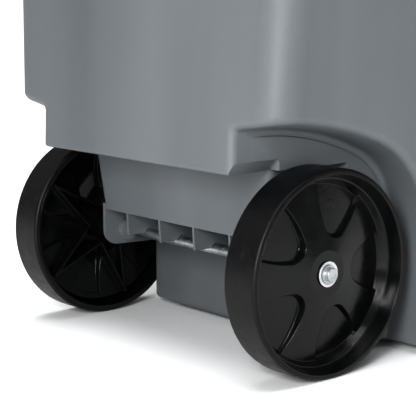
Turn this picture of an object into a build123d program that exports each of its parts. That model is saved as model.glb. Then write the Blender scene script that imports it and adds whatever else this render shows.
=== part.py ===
from build123d import *
import math
import os

# Two-wheeled waste container: a moulded bin on an axle, with a hinged lid.
# Millimetres, +Z up, +Y towards the front, wheels at the rear.
# Everything is drawn with Y = 0 at the axle and moved to the origin at the end.

# ---------------------------------------------------------------- wheels and axle
wheel_dia = 254.0
tread_width = 53.0
tread_thick = 5.5
tread_shoulder = 4.5
track = 444.0            # distance between the middles of the two treads
axle_dia = 14.0
wheel_running_fit = 0.08 # radial gap between axle and hub bore
rim_lip = 1.5            # flat edge of the rim beside the tread
ring_dia = 226.0         # the ledge inside the rim
ring_depth = 17.0
ring_ledge = 1.5
floor_dia = 213.0        # outer edge of the recess floors
floor_depth = 29.0       # from the tread's outer face to the recess floors, at the rim
tip_floor_depth = 22.0   # the same at the inner tips of the recesses
disc_wall = 4.0
rim_wall = 4.0
star_top_depth = 10.5    # from the tread's outer face to the hub's flat
star_rim_depth = 25.5    # the same to the star's surface where it meets the rim
star_flat_dia = 56.0
petal_count = 5
petal_phase = 0.0        # degrees from +Y towards +Z
petal_tip_r = 44.5       # wheel centre to the inner tip of a recess
petal_tip_radius = 22.0
petal_tip_angle = 38.0   # flare of a recess's sides where they leave the tip
petal_side_radius = 130.0
petal_end_angle = 15.0   # and their flare at the rim
petal_draft = 22.0       # slope of a recess's sides
petal_true_depth = 15.0  # the recess has its nominal outline at this depth
hub_dia = 44.0
spoke_rib_thick = 3.5
spoke_rib_inset = 9.0    # ribs stop this far inside the tread's inner face
spoke_rib_splay = 11.0   # ribs meet in pairs at the rim and run past the hub on both sides

# ---------------------------------------------------------------- bin body
rim_height = 1020.0      # floor to the top of the bin's rim
ground_gap = 9.5         # floor to the underside of the bin
wall = 4.5
floor_thick = 6.0
base_width = 504.6       # across the sides, taken down to floor level
side_draft = 2.6         # degrees, each side
rear_foot = 122.5        # rear wall behind the axle, at floor level
rear_lean = 2.0          # degrees, towards the front
front_foot = 430.0       # front wall ahead of the axle, at floor level
front_draft = 7.0
rear_corner = 40.0
front_corner = 62.0
rim_out = 18.0
rim_deep = 26.0
rim_wall_thick = 4.0

# wheel wells and the stepped underside at the rear
strip_low = 249.0        # lower edge of the rear overhang
core_width = 386.0       # the part of the bin between the wheels
mid_rear = 38.0          # rear face of the axle housing, behind the axle
mid_low = 159.0
mid_top_width = 360.0
mid_low_width = 320.0
mid_foot = 7.0           # the lowest part of its side is upright
low_rear = 76.0          # rear face of the lowest block, ahead of the axle
arch_top = 313.0         # these five for the edge of a well in the bin's side
arch_flat_end = 110.0    # the arch is level as far as this behind the axle
arch_long_radius = 481.0
arch_knee = 60.0         # where the long arc of the arch meets the short one
arch_front = 160.0
inner_arch_top = 301.0   # the same five where the roof meets the inner wall
inner_arch_flat_end = 70.0
inner_arch_long_radius = 399.0
inner_arch_knee = 95.0
inner_arch_front = 157.0
roof_corner = 6.0        # inside radius between roof and inner wall
arch_edge = 10.0         # outside radius round the opening of a well
pad_proud = 1.5          # a raised pad on the inner wall of a well
pad_inset = 9.0
pad_edge = 1.3
pad_start = 84.0         # the pad starts this far behind the axle
pad_ramp = 30.0          # and rises over this length
strip_chamfer = 14.0     # height of the chamfer at each end of the overhang
strip_chamfer_rear = 5.0 # its width at the rear wall; it widens towards the axle housing
strip_chamfer_end = 6.0  # inside radius where it ends
strip_edge = 4.0
mid_corner = 9.0
low_corner = 10.0
base_edge = 8.0
foot_near = 60.0         # the front feet, from the middle outwards
foot_far = 190.0
foot_back = 90.0         # and behind the front wall
foot_front = 50.0
sill_half = 150.0        # a low rib across the rear of the base
sill_place = 14.0
sill_thick = 8.0
sill_deep = 5.0

# axle housing
rib_thick = 3.5
rib_pitch = 70.0
rib_count = 4
rib_low = 129.0
end_plate_thick = 4.5
end_plate_low = 108.0
end_plate_heel = 22.0
gusset_top = 18.0        # the slanting gusset meets the roof this far ahead of the axle
axle_running_fit = 0.10
boss_dia = 30.0
boss_long = 9.0
rib_hole_dia = 15.2     # the notch that rests on the axle

# ---------------------------------------------------------------- axle ends
washer_dia = 31.0
washer_thick = 2.0
washer_dish = 1.2
washer_fit = 0.3         # radial gap round the axle
nut_dia = 17.0
nut_flange_dia = 22.0
nut_long = 7.5
nut_wall = 1.2
nut_end_gap = 0.3        # between the axle's end and the inside of the cap
spacer_dia = 30.0
spacer_thick = 2.5
end_float = 0.4          # free play of a wheel along the axle, each side

# ---------------------------------------------------------------- lid and handle
lid_wall = 3.5
lid_gap = 3.0            # skirt to rim, all round
lid_rest_gap = 0.5
lid_skirt = 22.0
crown_inset = 62.0
crown_high = 24.0
crown_slope = 22.0
lip_reach = 20.0
lip_width = 200.0
lip_deep = 16.0
tube_dia = 25.0
tube_wall = 2.0
tube_drop = 25.0         # tube centre below the rim's top
tube_behind = 50.0       # tube centre behind the rim's rear face
bracket_place = 240.0
bracket_thick = 20.0
bracket_round = 20.0
bracket_deep = 95.0      # foot of a bracket below the rim's top
ear_place = 205.0
ear_thick = 22.0
ear_wall = 6.0
ear_fit = 0.10
tube_overhang = 3.0
cap_thick = 4.0
cap_dia = 30.0
cap_dome = 2.4
cap_spigot = 16.0

# ---------------------------------------------------------------- front catch bar
bar_dia = 25.4
bar_wall = 2.0
bar_height = 430.0
bar_ahead = 26.0         # bar centre ahead of the front wall
lug_place = 150.0
lug_thick = 22.0
lug_round = 22.0
lug_web = 42.0           # half the height of a lug's foot on the wall
bar_fit = 0.10
bar_end_play = 0.5
recess_width = 250.0
recess_high = 100.0
recess_deep = 15.0
recess_corner = 9.0

# ---------------------------------------------------------------- derived places
wheel_r = wheel_dia / 2
axle_height = wheel_r
axle_r = axle_dia / 2
half_core = core_width / 2
wheel_mid = track / 2
rim_r = wheel_r - tread_thick
tread_face = tread_width / 2
far_back = -rear_foot - 110
far_below = -60
beyond = 50.0            # cutting blocks run this far past what they cut


def slope(degrees):
    return math.tan(math.radians(degrees))


def half_width(z):
    return base_width / 2 + slope(side_draft) * z


def rear_wall(z):
    return -rear_foot + slope(rear_lean) * z


def front_wall(z):
    return front_foot + slope(front_draft) * z


rim_rear = rear_wall(rim_height) - rim_out
rim_front = front_wall(rim_height) + rim_out
tube_y = rim_rear - tube_behind
tube_z = rim_height - tube_drop
rear_reach = -(tube_y - bracket_round)
front_reach = rim_front + lid_gap + lid_wall + lip_reach
axle_y = (rear_reach - front_reach) / 2


# ---------------------------------------------------------------- helpers
def yz_prism(wire, low_x, high_x):
    """A prism along X from an outline drawn as (Y, Z)."""
    face = Plane.YZ * make_face(wire)
    return Location((low_x, 0, 0)) * extrude(face, high_x - low_x, dir=(1, 0, 0))


def block(low, high):
    size = [high[i] - low[i] for i in range(3)]
    middle = [(high[i] + low[i]) / 2 for i in range(3)]
    return Location(middle) * Box(*size)


def x_cylinder(radius, low_x, high_x, y=0.0, z=0.0):
    shape = Rotation(0, 90, 0) * Cylinder(radius, high_x - low_x)
    return Location(((low_x + high_x) / 2, y, z)) * shape


def near(a, b, gap=1.0):
    return abs(a - b) < gap


def steep(edge):
    return abs(edge.tangent_at(0.5).Z) > 0.9


def mirrored(shape):
    return mirror(shape, about=Plane.YZ)


# ---------------------------------------------------------------- bin body
def tapered_box(inset, low, high):
    """The bin's plain outer form, with its walls moved in by inset."""
    side = Polyline(
        (rear_wall(low) + inset, low),
        (front_wall(low) - inset, low),
        (front_wall(high) - inset, high),
        (rear_wall(high) + inset, high),
        close=True,
    )
    across = Polyline(
        (-half_width(low) + inset, low),
        (half_width(low) - inset, low),
        (half_width(high) - inset, high),
        (-half_width(high) + inset, high),
        close=True,
    )
    reach = half_width(high) + beyond
    deep = front_wall(high) + rear_foot
    front_view = extrude(Plane.XZ * make_face(across), deep * 2, both=True)
    shape = yz_prism(side, -reach, reach) & front_view
    rear = shape.edges().filter_by(lambda e: steep(e) and e.center().Y < 0)
    shape = fillet(rear, rear_corner - inset)
    front = shape.edges().filter_by(lambda e: steep(e) and e.center().Y > front_foot / 2)
    return fillet(front, front_corner - inset)


def arch_sizes(x):
    """The five sizes of the right-hand well's arch at the distance x from the middle."""
    outer = (arch_top, arch_flat_end, arch_long_radius, arch_knee, arch_front)
    inner = (
        inner_arch_top,
        inner_arch_flat_end,
        inner_arch_long_radius,
        inner_arch_knee,
        inner_arch_front,
    )
    share = (x - half_core) / (half_width(arch_top) - half_core)
    return [low + (high - low) * share for low, high in zip(inner, outer)]


def arch_face(x, inset):
    """The outline of the right-hand well at x, its curves moved in by inset."""
    top, flat_end, long_radius, knee_y, front = arch_sizes(x)
    turn = math.asin((knee_y + flat_end) / long_radius)
    short_radius = (front - knee_y) / (1 - math.sin(turn))
    middle_y = knee_y - short_radius * math.sin(turn)
    middle_z = top - long_radius + (long_radius - short_radius) * math.cos(turn)
    long_r = long_radius - inset
    short_r = short_radius - inset

    def on_long(angle):
        return (long_r * math.sin(angle) - flat_end, top - long_radius + long_r * math.cos(angle))

    def on_short(angle):
        return (middle_y + short_r * math.sin(angle), middle_z + short_r * math.cos(angle))

    low_y = middle_y + short_r
    outline = [
        Line((far_back, top - inset), on_long(0)),
        ThreePointArc(on_long(0), on_long(turn / 2), on_long(turn)),
        ThreePointArc(on_short(turn), on_short((turn + math.pi / 2) / 2), on_short(math.pi / 2)),
        Line(on_short(math.pi / 2), (low_y, far_below)),
        Line((low_y, far_below), (far_back, far_below)),
        Line((far_back, far_below), (far_back, top - inset)),
    ]
    return Location((x, 0, 0)) * (Plane.YZ * make_face(outline))


def well(grow):
    """The space of the right-hand wheel, its walls moved out by grow."""
    inner_x = half_core - grow
    shape = loft([arch_face(inner_x, -grow), arch_face(half_width(rim_height), -grow)], ruled=True)
    corner = shape.edges().filter_by(
        lambda e: near(e.center().X, inner_x, 0.1)
        and e.center().Z > 0
        and e.center().Y > far_back + 1
    )
    return fillet(corner, roof_corner + grow)


def undercut(grow):
    """The stepped underside across the whole rear."""
    outline = Polyline(
        (far_back, strip_low + grow),
        (-mid_rear + grow, strip_low + grow),
        (-mid_rear + grow, mid_low + grow),
        (low_rear + grow, mid_low + grow),
        (low_rear + grow, far_below),
        (far_back, far_below),
        close=True,
    )
    reach = half_width(rim_height)
    return yz_prism(outline, -reach, reach)


def xz_prism(corners, low_y, high_y):
    """A prism along Y from corners given as (X, Z)."""
    face = Plane.XZ * make_face(Polyline(*corners, close=True))
    return Location((0, low_y, 0)) * extrude(face, high_y - low_y, dir=(0, 1, 0))


def flank(grow):
    """What is cut from the right side of the axle housing and of the overhang above it."""
    far = half_core + beyond
    under = strip_low + grow
    slant_x = mid_top_width / 2 - grow
    low_x = mid_low_width / 2 - grow
    housing = [
        (far, under),
        (slant_x, under),
        (low_x, mid_low + mid_foot + grow),
        (low_x, far_below),
        (far, far_below),
    ]

    def overhang(y, low_corner_x):
        corners = [
            (far, under + strip_chamfer),
            (half_core - grow, under + strip_chamfer),
            (low_corner_x - grow, under - 0.5),
            (far, under - 0.5),
        ]
        return Location((0, y, 0)) * (Plane.XZ * make_face(Polyline(*corners, close=True)))

    rear = overhang(-rear_foot - 5, half_core - strip_chamfer_rear)
    end = overhang(grow - mid_rear, mid_top_width / 2)
    cut = loft([rear, end], ruled=True)
    inner_end = cut.edges().filter_by(
        lambda e: near(e.center().Y, grow - mid_rear, 0.1)
        and e.center().X < half_core - grow
    )
    cut = fillet(inner_end, strip_chamfer_end)
    return cut + xz_prism(housing, far_back, low_rear + grow)


def well_pad():
    """The raised pad on the inner wall of the right-hand well."""
    foot_x = half_core - 1
    front_x = half_core + pad_proud
    low = mid_low + 30
    rise = Polyline(
        (foot_x, -pad_start - pad_ramp / pad_proud),
        (front_x, pad_ramp - pad_start),
        (front_x, arch_front),
        (foot_x, arch_front),
        close=True,
    )
    keep = Location((0, 0, low)) * extrude(make_face(rise), arch_top - low)
    shape = extrude(arch_face(foot_x, pad_inset), pad_proud + 1, dir=(1, 0, 0)) & keep
    face = shape.faces().filter_by(lambda f: near(f.center().X, front_x, 0.01))
    curved = face.edges().filter_by(lambda e: e.center().Z > low + 20 and e.tangent_at(0.5).Z < 0.9)
    return fillet(curved.filter_by(lambda e: e.center().Y > pad_ramp - pad_start + 1), pad_edge)


def both(shape):
    return shape + mirrored(shape)


def on_skin(point):
    """Whether a point lies on the outer wall of the bin's rear half."""
    over_x = abs(point.X) - (half_width(point.Z) - rear_corner)
    over_y = rear_wall(point.Z) + rear_corner - point.Y
    if over_x > 0 and over_y > 0:
        return near(math.hypot(over_x, over_y), rear_corner, 0.8)
    return near(max(over_x, over_y), rear_corner, 0.8)


def round_opening(edge):
    """Whether an edge belongs to the outer edge of a wheel well or of the undercut."""
    at = edge.center()
    if not ground_gap + 2 < at.Z < arch_top + 3 or abs(at.X) < half_core - 0.5:
        return False
    return at.Y < arch_front + 5 and all(on_skin(edge.position_at(t)) for t in (0.05, 0.5, 0.95))


def outer_form():
    shape = tapered_box(0, ground_gap, rim_height) - both(well(0)) - undercut(0)
    shape = fillet(shape.edges().filter_by(round_opening), arch_edge)
    strip = shape.edges().filter_by(
        lambda e: near(e.center().Z, strip_low, 0.3)
        and e.center().Y < -mid_rear - 20
        and near(e.center().X, 0, 5)
    )
    shape = fillet(strip, strip_edge)
    low = shape.edges().filter_by(
        lambda e: near(e.center().Y, low_rear, 0.3)
        and near(abs(e.center().X), half_core, 0.3)
        and e.length > 60
    )
    shape = fillet(low, low_corner)
    shape = shape + both(well_pad()) - both(flank(0))
    mid = shape.edges().filter_by(
        lambda e: near(e.center().Y, -mid_rear, 0.3)
        and mid_low + 2 < e.center().Z < strip_low - 2
    )
    shape = fillet(mid, mid_corner)
    base = shape.edges().filter_by(lambda e: near(e.center().Z, ground_gap, 0.3))
    return fillet(base, base_edge)


def rear_hollows(grow):
    return undercut(grow) + both(well(grow) + flank(grow))


def front_recess(grow):
    """The shallow recess behind the catch bar."""
    low = bar_height - recess_high / 2 - grow
    high = bar_height + recess_high / 2 + grow
    outline = Polyline(
        (front_wall(low) - recess_deep - grow, low),
        (front_wall(high) - recess_deep - grow, high),
        (front_wall(high) + beyond, high),
        (front_wall(low) + beyond, low),
        close=True,
    )
    half = recess_width / 2 + grow
    shape = yz_prism(outline, -half, half)
    return fillet(shape.edges(), recess_corner + grow)


def rim():
    """The turned-down rim round the mouth."""
    low = rim_height - rim_deep
    outer = tapered_box(-rim_out, low, rim_height)
    inside = tapered_box(rim_wall_thick - rim_out, low - 10, rim_height - rim_wall_thick)
    return outer - inside


def side_outline(centre_y, centre_z, radius, corners, low_x, high_x):
    """A round boss joined to the wall by a web, as a prism along X."""
    web = yz_prism(Polyline(*corners, close=True), low_x, high_x)
    return web + x_cylinder(radius, low_x, high_x, centre_y, centre_z)


def handle_bracket():
    foot = rim_height - bracket_deep
    under_rim = rim_height - rim_deep
    lean = math.atan2(tube_z - foot, rear_wall(foot) - tube_y)
    corners = [
        (tube_y, tube_z - 2),
        (rim_rear + 1, tube_z - 2),
        (rim_rear + 3, under_rim + 4),
        (rear_wall(rim_height) + 1, under_rim + 4),
        (rear_wall(foot) + 1, foot),
        (tube_y - bracket_round * math.sin(lean), tube_z - bracket_round * math.cos(lean)),
    ]
    low_x = bracket_place - bracket_thick / 2
    return side_outline(tube_y, tube_z, bracket_round, corners, low_x, low_x + bracket_thick)


def bar_lug():
    low = bar_height - lug_web
    high = bar_height + lug_web
    corners = [
        (bar_y, bar_height - lug_round),
        (bar_y, bar_height + lug_round),
        (front_wall(high) - 1, high),
        (front_wall(low) - 1, low),
    ]
    low_x = lug_place - lug_thick / 2
    return side_outline(bar_y, bar_height, lug_round, corners, low_x, low_x + lug_thick)


def housing_rib(low_x, high_x):
    """A thin rib of the axle housing; its notch lies over the axle."""
    corners = [
        (-mid_rear, mid_low + 1),
        (low_rear + 1, mid_low + 1),
        (low_rear + 1, rib_low),
        (-mid_rear + 2, rib_low),
    ]
    rib = yz_prism(Polyline(*corners, close=True), low_x, high_x)
    return rib - x_cylinder(rib_hole_dia / 2, low_x - 1, high_x + 1, 0, axle_height)


def end_plate():
    """The side plate of the axle housing, with the boss that carries the axle."""
    outer_x = mid_low_width / 2
    inner_x = outer_x - end_plate_thick
    corners = [
        (-mid_rear, mid_low + 8),
        (low_rear + 1, mid_low + 8),
        (low_rear + 1, end_plate_low - 4),
        (-mid_rear, end_plate_low),
    ]
    plate = yz_prism(Polyline(*corners, close=True), inner_x, outer_x)
    heel = plate.edges().filter_by(Axis.X).sort_by(lambda e: e.center().Y + e.center().Z)[0]
    plate = fillet(heel, end_plate_heel)
    boss = x_cylinder(boss_dia / 2, inner_x - boss_long, inner_x + 1, 0, axle_height)
    gusset = Polyline(
        (-boss_dia / 2 + 1, axle_height + 4),
        (gusset_top, mid_low + 1),
        (gusset_top + rib_thick, mid_low + 1),
        (-boss_dia / 2 + 5, axle_height + 2),
        close=True,
    )
    web = yz_prism(gusset, inner_x - boss_long, inner_x + 1)
    bore = x_cylinder(axle_r + axle_running_fit, inner_x - beyond, outer_x + 1, 0, axle_height)
    return plate + boss + web - bore


def foot(low_x, high_x, low_y, high_y, low_z):
    shape = block((low_x, low_y, low_z), (high_x, high_y, ground_gap + 1))
    upright = shape.edges().filter_by(Axis.Z)
    return fillet(upright, min(high_x - low_x, high_y - low_y) / 2 - 0.5)


def bin_body():
    outer = outer_form() - front_recess(0)
    inner = tapered_box(wall, ground_gap + floor_thick, rim_height + beyond)
    inner = inner - rear_hollows(wall) - front_recess(wall)
    body = outer + rim()
    right = handle_bracket() + bar_lug() + end_plate()
    body = body + right + mirrored(right)
    for i in range(rib_count):
        middle = (i - (rib_count - 1) / 2) * rib_pitch
        body = body + housing_rib(middle - rib_thick / 2, middle + rib_thick / 2)
    front_y = front_wall(ground_gap)
    for side in (-1, 1):
        places = sorted((side * foot_near, side * foot_far))
        body = body + foot(*places, front_y - foot_back, front_y - foot_front, 0)
    sill_y = low_rear + sill_place
    body = body + foot(-sill_half, sill_half, sill_y, sill_y + sill_thick, ground_gap - sill_deep)
    body = body - inner
    body = body - x_cylinder(tube_dia / 2 + ear_fit, -tube_end, tube_end, tube_y, tube_z)
    return body - x_cylinder(bar_dia / 2 + bar_fit, -bar_end, bar_end, bar_y, bar_height)


# ---------------------------------------------------------------- wheels
def turned(points):
    """A solid of revolution about X from an outline given as (X, radius)."""
    return revolve(Plane.XZ * make_face(Polyline(*points, close=True)), Axis.X)


def petal_face(grow, x):
    """The outline of one recess of the wheel, along +Y, at x and moved out by grow."""
    tip_angle = math.radians(petal_tip_angle)
    end_angle = math.radians(petal_end_angle)
    tip_centre = petal_tip_r + petal_tip_radius
    offset = petal_side_radius - petal_tip_radius
    side_centre = (
        tip_centre + offset * math.sin(tip_angle),
        -offset * math.cos(tip_angle),
    )

    def on_side(angle):
        radius = petal_side_radius + grow
        return (
            side_centre[0] - radius * math.sin(angle),
            side_centre[1] + radius * math.cos(angle),
        )

    def below(point):
        return (point[0], -point[1])

    leave = on_side(tip_angle)
    middle = on_side((tip_angle + end_angle) / 2)
    last = on_side(end_angle)
    rim_end = (wheel_r, last[1] + (wheel_r - last[0]) * math.tan(end_angle))
    tip = (petal_tip_r - grow, 0)
    outline = [
        ThreePointArc(below(leave), tip, leave),
        ThreePointArc(leave, middle, last),
        Line(last, rim_end),
        Line(rim_end, below(rim_end)),
        Line(below(rim_end), below(last)),
        ThreePointArc(below(last), below(middle), below(leave)),
    ]
    return Location((x, 0, 0)) * (Plane.YZ * make_face(outline))


def petals(grow, low_x, high_x):
    """All the recesses of the wheel, with sloping sides."""
    true_x = tread_face - petal_true_depth
    low = petal_face(grow + slope(petal_draft) * (low_x - true_x), low_x)
    high = petal_face(grow + slope(petal_draft) * (high_x - true_x), high_x)
    one = loft([low, high], ruled=True)
    turns = [petal_phase + i * 360 / petal_count for i in range(petal_count)]
    return [Rotation(turn, 0, 0) * one for turn in turns]


def wheel():
    """The moulded wheel, its middle at the origin and its outer face towards +X."""
    bore = axle_r + wheel_running_fit
    hub_r = hub_dia / 2
    ring_r = ring_dia / 2
    floor_r = floor_dia / 2
    flat_r = star_flat_dia / 2
    inner_r = rim_r - rim_wall
    ring_x = tread_face - ring_depth
    top_x = tread_face - star_top_depth
    floor_fall = (floor_depth - tip_floor_depth) / (floor_r - petal_tip_r)
    star_end_r = (floor_r + ring_r) / 2 + 1
    star_fall = (star_rim_depth - star_top_depth) / (star_end_r - flat_r)

    def floor_x(radius):
        return tread_face - floor_depth + (floor_r - radius) * floor_fall

    def back_x(radius):
        return floor_x(radius) - disc_wall

    def hollow_x(radius):
        return top_x - max(0, radius - flat_r) * star_fall - disc_wall

    shell = turned([
        (tread_face, rim_r),
        (tread_face, rim_r - rim_lip),
        (ring_x, ring_r + ring_ledge),
        (ring_x, ring_r),
        (floor_x(floor_r), floor_r),
        (floor_x(0), 0),
        (back_x(0), 0),
        (back_x(floor_r + rim_wall), floor_r + rim_wall),
        (ring_x - rim_wall, inner_r),
        (-tread_face, inner_r),
        (-tread_face, rim_r),
    ])
    star = turned([
        (floor_x(star_end_r) - 1, star_end_r),
        (tread_face - star_rim_depth, star_end_r),
        (top_x, flat_r),
        (top_x, 0),
        (floor_x(0) - 1, 0),
    ])
    for cut in petals(0, floor_x(floor_r) - 1, tread_face):
        star = star - cut
    hollow_end = floor_r - 4
    hollow = turned([
        (back_x(hollow_end) - 1, hollow_end),
        (hollow_x(hollow_end), hollow_end),
        (hollow_x(flat_r), flat_r),
        (hollow_x(0), 0),
        (back_x(0) - 1, 0),
    ])
    for keep in petals(disc_wall, back_x(floor_r) - 1, tread_face):
        hollow = hollow - keep
    hub_end = spacer_face + spacer_thick + end_float - wheel_mid
    body = shell + star - hollow + x_cylinder(hub_r, hub_end, top_x - 1)
    rib_foot = (spoke_rib_inset - tread_face, floor_r + rim_wall - 0.5)
    corners = [
        rib_foot,
        (back_x(floor_r) + 1, rib_foot[1]),
        (back_x(floor_r) + 1, floor_r),
        (back_x(hub_r) + 1, hub_r - 1),
        (rib_foot[0], hub_r - 1),
    ]
    rib = Plane.XZ * make_face(Polyline(*corners, close=True))
    rib = extrude(rib, spoke_rib_thick / 2, both=True)
    apex = Location((0, 0, floor_r))
    for i in range(petal_count):
        for side in (-1, 1):
            turn = i * 360 / petal_count + petal_phase - 90
            leaning = apex * Rotation(side * spoke_rib_splay, 0, 0) * apex.inverse()
            body = body + Rotation(turn, 0, 0) * (leaning * rib)
    return body - x_cylinder(bore, hub_end - 1, tread_face)


def tread():
    """The rubber band on the wheel."""
    band = turned([
        (-tread_face, rim_r),
        (-tread_face, wheel_r),
        (tread_face, wheel_r),
        (tread_face, rim_r),
    ])
    edges = band.edges().filter_by(lambda e: near(e.length, math.pi * wheel_dia, 1))
    return fillet(edges, tread_shoulder)


def axle():
    end = nut_face + nut_long - nut_wall - nut_end_gap
    shape = x_cylinder(axle_r, -end, end, 0, axle_height)
    return chamfer(shape.edges().filter_by(GeomType.CIRCLE), 1)


def outer_washer():
    hole = axle_r + washer_fit
    outer = washer_dia / 2
    dish = washer_dish
    return turned([
        (washer_face, hole),
        (washer_face, outer - 4),
        (washer_face + dish, outer - 1),
        (washer_face + dish, outer),
        (washer_face + washer_thick, outer),
        (washer_face + washer_thick, outer - 2.5),
        (washer_face + washer_thick - dish, outer - 5.5),
        (washer_face + washer_thick - dish, hole),
    ])


def push_nut():
    """The pressed cap that is driven onto the end of the axle."""
    end = nut_face + nut_long
    cap = turned([
        (nut_face, axle_r),
        (nut_face, nut_flange_dia / 2),
        (nut_face + nut_wall, nut_flange_dia / 2),
        (nut_face + nut_wall, nut_dia / 2),
        (end, nut_dia / 2),
        (end, 0),
        (end - nut_wall, 0),
        (end - nut_wall, axle_r),
    ])
    rims = cap.edges().filter_by(lambda e: near(e.center().X, end, 0.1))
    return fillet(rims, 1.0)


def spacer():
    hole = axle_r + washer_fit
    ring = x_cylinder(spacer_dia / 2, spacer_face, spacer_face + spacer_thick)
    return ring - x_cylinder(hole, spacer_face - 1, spacer_face + spacer_thick + 1)


# ---------------------------------------------------------------- lid
def lid_block(inset, low, high):
    """A plain upright block on the lid's outline, moved in by inset."""
    wide = half_width(rim_height) + rim_out + lid_gap + lid_wall - inset
    rear = rim_rear - lid_gap - lid_wall + inset
    front = rim_front + lid_gap + lid_wall - inset
    shape = block((-wide, rear, low), (wide, front, high))
    more = rim_out + lid_gap + lid_wall - inset
    upright = shape.edges().filter_by(Axis.Z)
    shape = fillet(upright.filter_by(lambda e: e.center().Y < 0), rear_corner + more)
    front_edges = shape.edges().filter_by(Axis.Z).filter_by(
        lambda e: near(abs(e.center().X), wide) and e.center().Y > front_foot / 2)
    return fillet(front_edges, front_corner + more)


def crown(inset, low, high):
    wide = half_width(rim_height) + rim_out - inset
    rear = rim_rear + inset
    front = rim_front - inset
    corner = front_corner
    lean = math.degrees(math.atan2(crown_slope, crown_high))
    base = RectangleRounded(2 * wide, front - rear, corner)
    base = Location((0, (front + rear) / 2, low)) * base
    return extrude(base, high - low, taper=lean)


def ear():
    radius = tube_dia / 2 + ear_fit + ear_wall
    top = lid_top
    edge = rim_rear - lid_gap - lid_wall + 1
    corners = [
        (tube_y - 3, tube_z + radius - 1),
        (edge, top),
        (edge, top - 20),
        (tube_y + radius - 4, tube_z - 8),
        (tube_y, tube_z),
    ]
    low_x = ear_place - ear_thick / 2
    shape = side_outline(tube_y, tube_z, radius, corners, low_x, low_x + ear_thick)
    return shape - x_cylinder(tube_dia / 2 + ear_fit, low_x - 1, low_x + beyond, tube_y, tube_z)


def lid():
    low = lid_top - lid_skirt
    outer = lid_block(0, low, lid_top)
    top_edges = outer.edges().filter_by(lambda e: near(e.center().Z, lid_top, 0.1))
    outer = fillet(top_edges, lid_wall)
    outer = outer + crown(crown_inset, lid_top - 0.5, lid_top + crown_high)
    inside = lid_block(lid_wall, low - 1, lid_top - lid_wall)
    hollow = crown(crown_inset + lid_wall, lid_top - lid_wall - 0.5, lid_top + crown_high - lid_wall)
    shape = outer - inside - hollow
    front = rim_front + lid_gap + lid_wall
    half = lip_width / 2
    shelf = block((-half, front - 1, lid_top - lid_wall), (half, front + lip_reach, lid_top))
    lip_low = (-half, front + lip_reach - lid_wall, lid_top - lip_deep)
    edge = block(lip_low, (half, front + lip_reach, lid_top))
    shape = shape + shelf + edge
    return shape + ear() + mirrored(ear())


# ---------------------------------------------------------------- tubes and plugs
def tube(dia, thick, half, y, z):
    outer = x_cylinder(dia / 2, -half, half, y, z)
    return outer - x_cylinder(dia / 2 - thick, -half - 1, half + 1, y, z)


def plug(tube_end, bore_dia, y, z):
    """A push-in plug with a domed head."""
    head = x_cylinder(cap_dia / 2, tube_end, tube_end + cap_thick, y, z)
    rims = head.edges().filter_by(GeomType.CIRCLE).filter_by(
        lambda e: near(e.center().X, tube_end + cap_thick, 0.1))
    head = fillet(rims, cap_dome)
    return head + x_cylinder(bore_dia / 2, tube_end - cap_spigot, tube_end + 0.1, y, z)


spacer_face = mid_low_width / 2
washer_face = wheel_mid + tread_face - star_top_depth + end_float
nut_face = washer_face + washer_thick
lid_top = rim_height + lid_rest_gap + lid_wall
bar_y = front_wall(bar_height) + bar_ahead
tube_end = bracket_place + bracket_thick / 2 + tube_overhang
bar_end = lug_place + lug_thick / 2 + bar_end_play


def main():
    os.makedirs("parts", exist_ok=True)
    parts = {"bin_body": bin_body(), "lid": lid(), "axle": axle()}
    parts["handle_tube"] = tube(tube_dia, tube_wall, tube_end, tube_y, tube_z)
    parts["catch_bar"] = tube(bar_dia, bar_wall, bar_end, bar_y, bar_height)
    on_axle = Location((0, 0, axle_height))
    at_wheel = Location((wheel_mid, 0, axle_height))
    pairs = {
        "wheel": at_wheel * wheel(),
        "tread": at_wheel * tread(),
        "outer_washer": on_axle * outer_washer(),
        "push_nut": on_axle * push_nut(),
        "inner_spacer": on_axle * spacer(),
        "handle_plug": plug(tube_end, tube_dia - 2 * tube_wall, tube_y, tube_z),
        "bar_plug": plug(bar_end, bar_dia - 2 * bar_wall, bar_y, bar_height),
    }
    for name, shape in pairs.items():
        parts[name + "_right"] = shape
        parts[name + "_left"] = mirrored(shape)
    for name, shape in parts.items():
        export_step(Location((0, axle_y, 0)) * shape, "parts/" + name + ".step")


main()
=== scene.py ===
import math

import bmesh
import bpy
from mathutils import Matrix, Vector


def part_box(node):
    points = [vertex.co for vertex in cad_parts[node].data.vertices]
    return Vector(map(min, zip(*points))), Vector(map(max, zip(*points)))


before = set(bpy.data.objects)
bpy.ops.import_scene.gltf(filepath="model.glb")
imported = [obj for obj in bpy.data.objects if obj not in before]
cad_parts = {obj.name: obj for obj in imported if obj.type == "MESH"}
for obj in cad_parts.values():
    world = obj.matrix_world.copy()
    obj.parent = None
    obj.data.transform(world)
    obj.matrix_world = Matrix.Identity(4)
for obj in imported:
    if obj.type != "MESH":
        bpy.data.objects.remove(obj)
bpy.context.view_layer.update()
print("frame loaded")

axleLow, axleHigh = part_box("axle")
axleMiddle = (axleLow + axleHigh) / 2
treadLow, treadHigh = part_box("tread_right")
treadMiddle = (treadLow.x + treadHigh.x) / 2


noiseLow, noiseHigh = 0.3, 0.7     # noise seldom leaves this range, so colours and roughness span it


def toLinear(hexColour):
    values = [int(hexColour[i:i + 2], 16) / 255 for i in (0, 2, 4)]
    linear = [v / 12.92 if v < 0.04045 else ((v + 0.055) / 1.055) ** 2.4 for v in values]
    return (*linear, 1.0)


def addNode(material, kind, settings=None, links=None):
    # settings and links may name a socket, or give its number where two share a name
    node = material.node_tree.nodes.new(kind)
    for name, value in (settings or {}).items():
        if isinstance(name, int) or name in node.inputs:
            node.inputs[name].default_value = value
        else:
            setattr(node, name, value)
    for name, (source, output) in (links or {}).items():
        material.node_tree.links.new(source.outputs[output], node.inputs[name])
    return node


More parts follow.
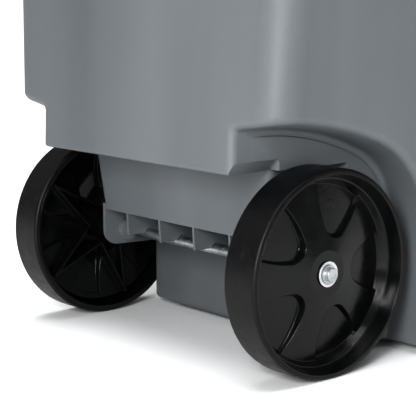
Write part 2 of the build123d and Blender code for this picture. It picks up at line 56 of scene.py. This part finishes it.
def startMaterial(name):
    material = bpy.data.materials.new(name)
    material.use_nodes = True
    material.node_tree.nodes.clear()
    return material


# The bin: HDPE, injection moulded against a spark-eroded grain
binFinish = {
    "colour": "606467",
    "paler": "6a6e71",
    "deeper": "575b5e",
    "roughness": (0.42, 0.56),
    "grain": 0.0024,       # the real grain is about 0.8 mm; drawn three times coarser so that it shows
    "grainDepth": 0.00011,
    "speckRange": (0.35, 0.75),
    "speckShare": 0.35,
    "flow": 0.16,          # width of the soft streaks that follow the melt up the walls
    "flowStretch": 0.12,   # the streaks are about eight times longer upwards than across
    "waviness": 0.11,
    "wavinessDepth": 0.0012,
    "cloudScale": 9,       # patches of duller and shinier sheen
    "scuff": 0.018,        # faint paler handling marks
    "scuffRange": (0.62, 0.78),
    "scuffShare": 0.3,
    "ior": 1.54,
    "specular": 0.5,
    "edge": 0.0012,
}


def hdpeMoulded():
    # Moulded HDPE is waxy: a broad soft sheen in which slight sink and flow marks show
    material = startMaterial("hdpeMoulded")
    coords = addNode(material, "ShaderNodeTexCoord")
    stretch = addNode(
        material, "ShaderNodeMapping", {"Scale": (1, 1, binFinish["flowStretch"])},
        {"Vector": (coords, "Object")})
    streaks = addNode(
        material, "ShaderNodeTexNoise",
        {"Scale": 1 / binFinish["flow"], "Detail": 3, "Roughness": 0.45},
        {"Vector": (stretch, "Vector")})
    clouds = addNode(
        material, "ShaderNodeTexNoise", {"Scale": binFinish["cloudScale"], "Detail": 2},
        {"Vector": (coords, "Object")})
    grain = addNode(
        material, "ShaderNodeTexNoise",
        {"Scale": 1 / binFinish["grain"], "Detail": 2, "Roughness": 0.6},
        {"Vector": (coords, "Object")})
    marks = addNode(
        material, "ShaderNodeTexNoise",
        {"Scale": 1 / binFinish["scuff"], "Detail": 8, "Roughness": 0.75, "Distortion": 1.5},
        {"Vector": (coords, "Object")})
    tone = addNode(
        material, "ShaderNodeMapRange", {"From Min": noiseLow, "From Max": noiseHigh},
        {"Value": (streaks, "Fac")})
    speck = addNode(
        material, "ShaderNodeMapRange",
        {
            "From Min": binFinish["speckRange"][0], "From Max": binFinish["speckRange"][1],
            "To Max": binFinish["speckShare"],
        },
        {"Value": (grain, "Fac")})
    handled = addNode(
        material, "ShaderNodeMapRange",
        {
            "From Min": binFinish["scuffRange"][0], "From Max": binFinish["scuffRange"][1],
            "To Max": binFinish["scuffShare"],
        },
        {"Value": (marks, "Fac")})
    rough = addNode(
        material, "ShaderNodeMapRange",
        {
            "From Min": noiseLow, "From Max": noiseHigh,
            "To Min": binFinish["roughness"][0], "To Max": binFinish["roughness"][1],
        },
        {"Value": (clouds, "Fac")})
    flowed = addNode(
        material, "ShaderNodeMix",
        {"data_type": "RGBA", 6: toLinear(binFinish["deeper"]), 7: toLinear(binFinish["paler"])},
        {0: (tone, "Result")})
    specked = addNode(
        material, "ShaderNodeMix", {"data_type": "RGBA", 7: toLinear(binFinish["colour"])},
        {0: (speck, "Result"), 6: (flowed, 2)})
    colour = addNode(
        material, "ShaderNodeMix", {"data_type": "RGBA", 7: toLinear(binFinish["paler"])},
        {0: (handled, "Result"), 6: (specked, 2)})
    wavy = addNode(
        material, "ShaderNodeTexNoise", {"Scale": 1 / binFinish["waviness"], "Detail": 1},
        {"Vector": (stretch, "Vector")})
    rounded = addNode(material, "ShaderNodeBevel", {"samples": 4, "Radius": binFinish["edge"]})
    sinks = addNode(
        material, "ShaderNodeBump", {"Strength": 1.0, "Distance": binFinish["wavinessDepth"]},
        {"Height": (wavy, "Fac"), "Normal": (rounded, "Normal")})
    bump = addNode(
        material, "ShaderNodeBump", {"Strength": 1.0, "Distance": binFinish["grainDepth"]},
        {"Height": (grain, "Fac"), "Normal": (sinks, "Normal")})
    shader = addNode(
        material, "ShaderNodeBsdfPrincipled",
        {"IOR": binFinish["ior"], "Specular IOR Level": binFinish["specular"]},
        {"Base Color": (colour, 2), "Roughness": (rough, "Result"), "Normal": (bump, "Normal")})
    addNode(material, "ShaderNodeOutputMaterial", {}, {"Surface": (shader, "BSDF")})
    return material


# The wheels: polypropylene, moulded in a polished tool
wheelFinish = {
    "colour": "060707",
    "dust": "0d0e0f",
    "roughness": (0.12, 0.24),
    "ripple": 0.009,
    "rippleDepth": 0.00012,
    "hazeScale": 38,       # dusty patches a few centimetres across
    "ior": 1.49,
    "specular": 0.34,
    "edge": 0.0018,
}


def polypropyleneGloss():
    # Glossy black moulding: dark, with sharp glints on its edges and a faint orange peel
    material = startMaterial("polypropyleneGloss")
    coords = addNode(material, "ShaderNodeTexCoord")
    ripple = addNode(
        material, "ShaderNodeTexNoise", {"Scale": 1 / wheelFinish["ripple"], "Detail": 2},
        {"Vector": (coords, "Object")})
    haze = addNode(
        material, "ShaderNodeTexNoise", {"Scale": wheelFinish["hazeScale"], "Detail": 4},
        {"Vector": (coords, "Object")})
    tone = addNode(
        material, "ShaderNodeMapRange", {"From Min": noiseLow, "From Max": noiseHigh},
        {"Value": (haze, "Fac")})
    rough = addNode(
        material, "ShaderNodeMapRange",
        {
            "From Min": noiseLow, "From Max": noiseHigh,
            "To Min": wheelFinish["roughness"][0], "To Max": wheelFinish["roughness"][1],
        },
        {"Value": (haze, "Fac")})
    colour = addNode(
        material, "ShaderNodeMix",
        {"data_type": "RGBA", 6: toLinear(wheelFinish["colour"]), 7: toLinear(wheelFinish["dust"])},
        {0: (tone, "Result")})
    rounded = addNode(material, "ShaderNodeBevel", {"samples": 6, "Radius": wheelFinish["edge"]})
    bump = addNode(
        material, "ShaderNodeBump", {"Strength": 1.0, "Distance": wheelFinish["rippleDepth"]},
        {"Height": (ripple, "Fac"), "Normal": (rounded, "Normal")})
    shader = addNode(
        material, "ShaderNodeBsdfPrincipled",
        {"IOR": wheelFinish["ior"], "Specular IOR Level": wheelFinish["specular"]},
        {"Base Color": (colour, 2), "Roughness": (rough, "Result"), "Normal": (bump, "Normal")})
    addNode(material, "ShaderNodeOutputMaterial", {}, {"Surface": (shader, "BSDF")})
    return material


# The treads: moulded rubber
treadFinish = {
    "colour": "08080a",
    "scuff": "1b1b1c",
    "roughness": (0.32, 0.52),
    "grit": 0.0016,        # rubber texture is about 0.5 mm; drawn three times coarser so that it shows
    "gritDepth": 0.00010,
    "scuffScale": 60,      # worn patches of one or two centimetres
    "scuffRange": (0.52, 0.75),
    "scuffShare": 0.8,
    "ior": 1.52,
    "specular": 0.25,
    "partingWidth": 0.0012,
    "partingHeight": 0.8,  # how proud the parting line is, as a share of the grit's depth
}


def rubberMoulded():
    # Moulded rubber: black and satin, pitted, greyer where it has rubbed on the ground
    material = startMaterial("rubberMoulded")
    coords = addNode(material, "ShaderNodeTexCoord")
    grit = addNode(
        material, "ShaderNodeTexNoise",
        {"Scale": 1 / treadFinish["grit"], "Detail": 3, "Roughness": 0.65},
        {"Vector": (coords, "Object")})
    scuffs = addNode(
        material, "ShaderNodeTexNoise",
        {"Scale": treadFinish["scuffScale"], "Detail": 6, "Roughness": 0.7},
        {"Vector": (coords, "Object")})
    worn = addNode(
        material, "ShaderNodeMapRange",
        {
            "From Min": treadFinish["scuffRange"][0], "From Max": treadFinish["scuffRange"][1],
            "To Max": treadFinish["scuffShare"],
        },
        {"Value": (scuffs, "Fac")})
    rough = addNode(
        material, "ShaderNodeMapRange",
        {
            "From Min": noiseLow, "From Max": noiseHigh,
            "To Min": treadFinish["roughness"][0], "To Max": treadFinish["roughness"][1],
        },
        {"Value": (scuffs, "Fac")})
    colour = addNode(
        material, "ShaderNodeMix",
        {"data_type": "RGBA", 6: toLinear(treadFinish["colour"]), 7: toLinear(treadFinish["scuff"])},
        {0: (worn, "Result")})
    split = addNode(material, "ShaderNodeSeparateXYZ", {}, {"Vector": (coords, "Object")})
    fromMiddle = addNode(material, "ShaderNodeMath", {"operation": "ABSOLUTE"}, {0: (split, "X")})
    partingLine = addNode(
        material, "ShaderNodeMath",
        {"operation": "COMPARE", 1: treadMiddle, 2: treadFinish["partingWidth"] / 2},
        {0: (fromMiddle, 0)})
    height = addNode(
        material, "ShaderNodeMath", {"operation": "MULTIPLY_ADD", 1: treadFinish["partingHeight"]},
        {0: (partingLine, 0), 2: (grit, "Fac")})
    bump = addNode(
        material, "ShaderNodeBump", {"Strength": 1.0, "Distance": treadFinish["gritDepth"]},
        {"Height": (height, 0)})
    shader = addNode(
        material, "ShaderNodeBsdfPrincipled",
        {"IOR": treadFinish["ior"], "Specular IOR Level": treadFinish["specular"]},
        {"Base Color": (colour, 2), "Roughness": (rough, "Result"), "Normal": (bump, "Normal")})
    addNode(material, "ShaderNodeOutputMaterial", {}, {"Surface": (shader, "BSDF")})
    return material


# The steel: rod and tubes drawn and hot-dip galvanised, caps and spacers pressed and zinc plated,
# outer washers zinc plated too; their zinc is drawn paler than the caps' as painted light so that they
# show brighter, and duller
rodFinish = {
    "dull": "8a8e91", "bright": "c8ccce", "roughness": (0.24, 0.42),
    "crystal": 0.010, "marks": 0.004, "markDepth": 0.00008, "edge": 0.0005,
}
platedFinish = {
    "dull": "b2b5b7", "bright": "cacdcf", "roughness": (0.38, 0.5),
    "crystal": 0.005, "marks": 0.004, "markDepth": 0.00004, "edge": 0.0005,
}
# The pale washer colours are painted light, a brighter copy of the plated zinc, not a different metal
washerPaintedPaleFinish = {
    "dull": "dcdedf", "bright": "eceded", "roughness": (0.5, 0.62),
    "crystal": 0.005, "marks": 0.004, "markDepth": 0.00003, "edge": 0.0005,
}


def zincSteel(name, finish):
    # Zinc: a cool pale grey, with crystals a few millimetres across that catch the light one by one
    material = startMaterial(name)
    coords = addNode(material, "ShaderNodeTexCoord")
    crystals = addNode(
        material, "ShaderNodeTexVoronoi", {"feature": "F1", "Scale": 1 / finish["crystal"]},
        {"Vector": (coords, "Object")})
    marks = addNode(
        material, "ShaderNodeTexNoise", {"Scale": 1 / finish["marks"], "Detail": 5, "Roughness": 0.65},
        {"Vector": (coords, "Object")})
    tone = addNode(
        material, "ShaderNodeMapRange", {"From Min": 0.1, "From Max": 0.9},
        {"Value": (crystals, "Color")})
    rough = addNode(
        material, "ShaderNodeMapRange",
        {
            "From Min": noiseLow, "From Max": noiseHigh,
            "To Min": finish["roughness"][0], "To Max": finish["roughness"][1],
        },
        {"Value": (marks, "Fac")})
    colour = addNode(
        material, "ShaderNodeMix",
        {"data_type": "RGBA", 6: toLinear(finish["dull"]), 7: toLinear(finish["bright"])},
        {0: (tone, "Result")})
    rounded = addNode(material, "ShaderNodeBevel", {"samples": 4, "Radius": finish["edge"]})
    bump = addNode(
        material, "ShaderNodeBump", {"Strength": 0.8, "Distance": finish["markDepth"]},
        {"Height": (marks, "Fac"), "Normal": (rounded, "Normal")})
    shader = addNode(
        material, "ShaderNodeBsdfPrincipled", {"Metallic": 1.0},
        {"Base Color": (colour, 2), "Roughness": (rough, "Result"), "Normal": (bump, "Normal")})
    addNode(material, "ShaderNodeOutputMaterial", {}, {"Surface": (shader, "BSDF")})
    return material


# The plugs: soft LDPE caps
plugFinish = {
    "colour": "1b1c1d", "sheen": "242526", "roughness": (0.38, 0.52),
    "grain": 0.0012, "grainDepth": 0.00005, "ior": 1.51,
}


def ldpeMoulded():
    # Soft moulded caps: dull black with a greasy sheen
    material = startMaterial("ldpeMoulded")
    coords = addNode(material, "ShaderNodeTexCoord")
    grain = addNode(
        material, "ShaderNodeTexNoise", {"Scale": 1 / plugFinish["grain"], "Detail": 2},
        {"Vector": (coords, "Object")})
    tone = addNode(
        material, "ShaderNodeMapRange", {"From Min": noiseLow, "From Max": noiseHigh},
        {"Value": (grain, "Fac")})
    rough = addNode(
        material, "ShaderNodeMapRange",
        {
            "From Min": noiseLow, "From Max": noiseHigh,
            "To Min": plugFinish["roughness"][0], "To Max": plugFinish["roughness"][1],
        },
        {"Value": (grain, "Fac")})
    colour = addNode(
        material, "ShaderNodeMix",
        {"data_type": "RGBA", 6: toLinear(plugFinish["colour"]), 7: toLinear(plugFinish["sheen"])},
        {0: (tone, "Result")})
    bump = addNode(
        material, "ShaderNodeBump", {"Strength": 1.0, "Distance": plugFinish["grainDepth"]},
        {"Height": (grain, "Fac")})
    shader = addNode(
        material, "ShaderNodeBsdfPrincipled", {"IOR": plugFinish["ior"]},
        {"Base Color": (colour, 2), "Roughness": (rough, "Result"), "Normal": (bump, "Normal")})
    addNode(material, "ShaderNodeOutputMaterial", {}, {"Surface": (shader, "BSDF")})
    return material


binPlastic = hdpeMoulded()
wheelPlastic = polypropyleneGloss()
treadRubber = rubberMoulded()
galvanised = zincSteel("steelGalvanised", rodFinish)
plated = zincSteel("steelZincPlated", platedFinish)
paleZincPaintedLight = zincSteel("steelZincPaintedPale", washerPaintedPaleFinish)
plugPlastic = ldpeMoulded()

finishes = {
    "bin_body": binPlastic,
    "lid": binPlastic,
    "wheel": wheelPlastic,
    "tread": treadRubber,
    "axle": galvanised,
    "handle_tube": galvanised,
    "catch_bar": galvanised,
    "outer_washer": paleZincPaintedLight,
    "push_nut": plated,
    "inner_spacer": plated,
    "handle_plug": plugPlastic,
    "bar_plug": plugPlastic,
}
for name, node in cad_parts.items():
    pair = name.removesuffix("_left").removesuffix("_right")
    node.data.materials.clear()
    node.data.materials.append(finishes[pair])
print("materials made")

floorFinish = {
    "colour": "ffffff", "roughness": (0.85, 0.95), "patch": 0.5,
    "size": 200.0,         # wide enough that its far edge lies close under the horizon
    "specular": 0.1,
}


def floorPaintRolled():
    # Matt white floor paint, rolled on: very slightly uneven in its sheen
    material = startMaterial("floorPaintRolled")
    coords = addNode(material, "ShaderNodeTexCoord")
    uneven = addNode(
        material, "ShaderNodeTexNoise", {"Scale": 1 / floorFinish["patch"], "Detail": 2},
        {"Vector": (coords, "Object")})
    rough = addNode(
        material, "ShaderNodeMapRange",
        {"To Min": floorFinish["roughness"][0], "To Max": floorFinish["roughness"][1]},
        {"Value": (uneven, "Fac")})
    shader = addNode(
        material, "ShaderNodeBsdfPrincipled",
        {"Base Color": toLinear(floorFinish["colour"]), "Specular IOR Level": floorFinish["specular"]},
        {"Roughness": (rough, "Result")})
    addNode(material, "ShaderNodeOutputMaterial", {}, {"Surface": (shader, "BSDF")})
    return material


def makeFloor():
    mesh = bpy.data.meshes.new("studioFloor")
    shape = bmesh.new()
    bmesh.ops.create_grid(shape, x_segments=4, y_segments=4, size=floorFinish["size"] / 2)
    shape.to_mesh(mesh)
    shape.free()
    mesh.materials.append(floorPaintRolled())
    floor = bpy.data.objects.new("studioFloor", mesh)
    bpy.context.scene.collection.objects.link(floor)


makeFloor()

cameraSetup = {
    "offset": (1.3107, -1.0980, 0.3357),     # from the middle of the axle
    "right": (0.6480, 0.7616, 0.0),
    "up": (-0.1260, 0.1072, 0.9862),
    "lens": 114.23,
    "sensor": 36.0,
    "clipEnd": 100,
}


def makeCamera():
    data = bpy.data.cameras.new("camera")
    data.lens = cameraSetup["lens"]
    data.sensor_width = cameraSetup["sensor"]
    data.clip_end = cameraSetup["clipEnd"]
    camera = bpy.data.objects.new("camera", data)
    right = Vector(cameraSetup["right"]).normalized()
    back = right.cross(Vector(cameraSetup["up"])).normalized()
    up = back.cross(right)
    turn = Matrix((right, up, back)).transposed().to_4x4()
    camera.matrix_world = Matrix.Translation(axleMiddle + Vector(cameraSetup["offset"])) @ turn
    bpy.context.scene.collection.objects.link(camera)
    bpy.context.scene.camera = camera


makeCamera()

# Azimuth is from +X towards +Y; each softbox looks at the rear corner
softboxes = {
    "keySoftbox": {"azimuth": -58, "elevation": 19, "distance": 1.8, "size": (0.45, 0.7), "power": 42},
    "fillSoftbox": {"azimuth": -150, "elevation": 30, "distance": 3.0, "size": (1.4, 1.4), "power": 2},
}
ceiling = {"strength": 2.9, "angle": 50}     # straight down, so that the floor is evenly white
sky = {"colour": "f4f6f8", "strength": 0.4}
shadowGamma = 0.8                            # deeper shadows under a white floor
lightTarget = axleMiddle + Vector((0.25, -0.1, 0.15))


def makeSoftbox(name, setup):
    data = bpy.data.lights.new(name, "AREA")
    data.shape = "RECTANGLE"
    data.size, data.size_y = setup["size"]
    data.energy = setup["power"]
    light = bpy.data.objects.new(name, data)
    azimuth, elevation = math.radians(setup["azimuth"]), math.radians(setup["elevation"])
    way = Vector((
        math.cos(elevation) * math.cos(azimuth),
        math.cos(elevation) * math.sin(azimuth),
        math.sin(elevation),
    ))
    light.location = lightTarget + way * setup["distance"]
    light.rotation_euler = way.to_track_quat("Z", "Y").to_euler()
    bpy.context.scene.collection.objects.link(light)


def makeCeiling():
    data = bpy.data.lights.new("ceiling", "SUN")
    data.energy = ceiling["strength"]
    data.angle = math.radians(ceiling["angle"])
    bpy.context.scene.collection.objects.link(bpy.data.objects.new("ceiling", data))


def makeSky():
    world = bpy.data.worlds.new("studio")
    world.use_nodes = True
    background = world.node_tree.nodes["Background"]
    background.inputs["Color"].default_value = toLinear(sky["colour"])
    background.inputs["Strength"].default_value = sky["strength"]
    bpy.context.scene.world = world


for name, setup in softboxes.items():
    makeSoftbox(name, setup)
makeCeiling()
makeSky()
bpy.context.scene.view_settings.view_transform = "Standard"
bpy.context.scene.view_settings.gamma = shadowGamma
print("floor, camera and lights placed")
